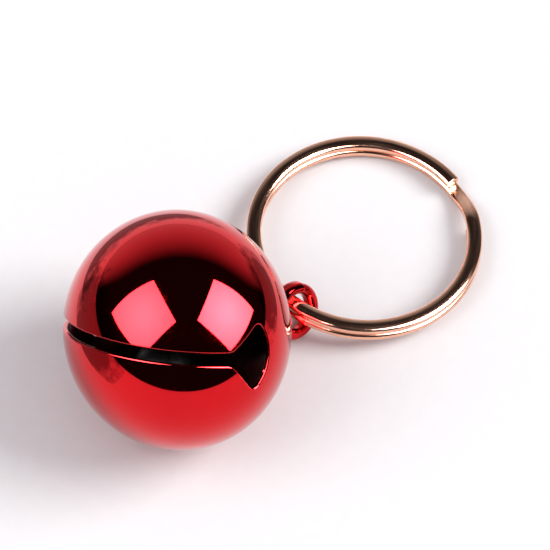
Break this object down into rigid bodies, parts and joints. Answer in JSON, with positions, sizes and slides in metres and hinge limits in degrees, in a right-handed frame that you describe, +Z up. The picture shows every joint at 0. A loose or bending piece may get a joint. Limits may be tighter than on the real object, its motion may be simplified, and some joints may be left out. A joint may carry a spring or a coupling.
{
  "type": "jingle bell ornament",
  "caption": "Round pressed sheet-metal jingle bell with a slit mouth, a loose pellet inside and a split ring through its eyelet.",
  "frame": {"origin": "where the ball touches the surface that the bell lies on", "axes": "+Z up from that surface, +X from the ball towards the eyelet and the ring; the bell's own axis dips 32.9 degrees below +X"},
  "size_m": [0.0398, 0.0233, 0.0194],
  "materials": {
    "red_plating": "mirror bright, transparent red lacquer over plating",
    "bare_steel": "dull bare steel",
    "rose_gold_wire": "bright rose gold plating"
  },
  "bodies": {
    "bell": {"bell_shell": "red_plating"},
    "ball_pellet": {"pellet": "bare_steel"},
    "ring": {"split_ring": "rose_gold_wire"}
  },
  "joints": [
    {"name": "ring_swing", "type": "hinge", "parent": "bell", "child": "ring", "pos_m": [0.01277, 0.0001, 0.00234], "axis": [0.342, -0.9397, 0], "range_deg": [-163, 106]},
    {"name": "pellet_roll", "type": "hinge", "parent": "bell", "child": "ball_pellet", "pos_m": [0.00124, 0, 0.00961], "axis": [0.84, 0, -0.5426], "continuous": true}
  ]
}
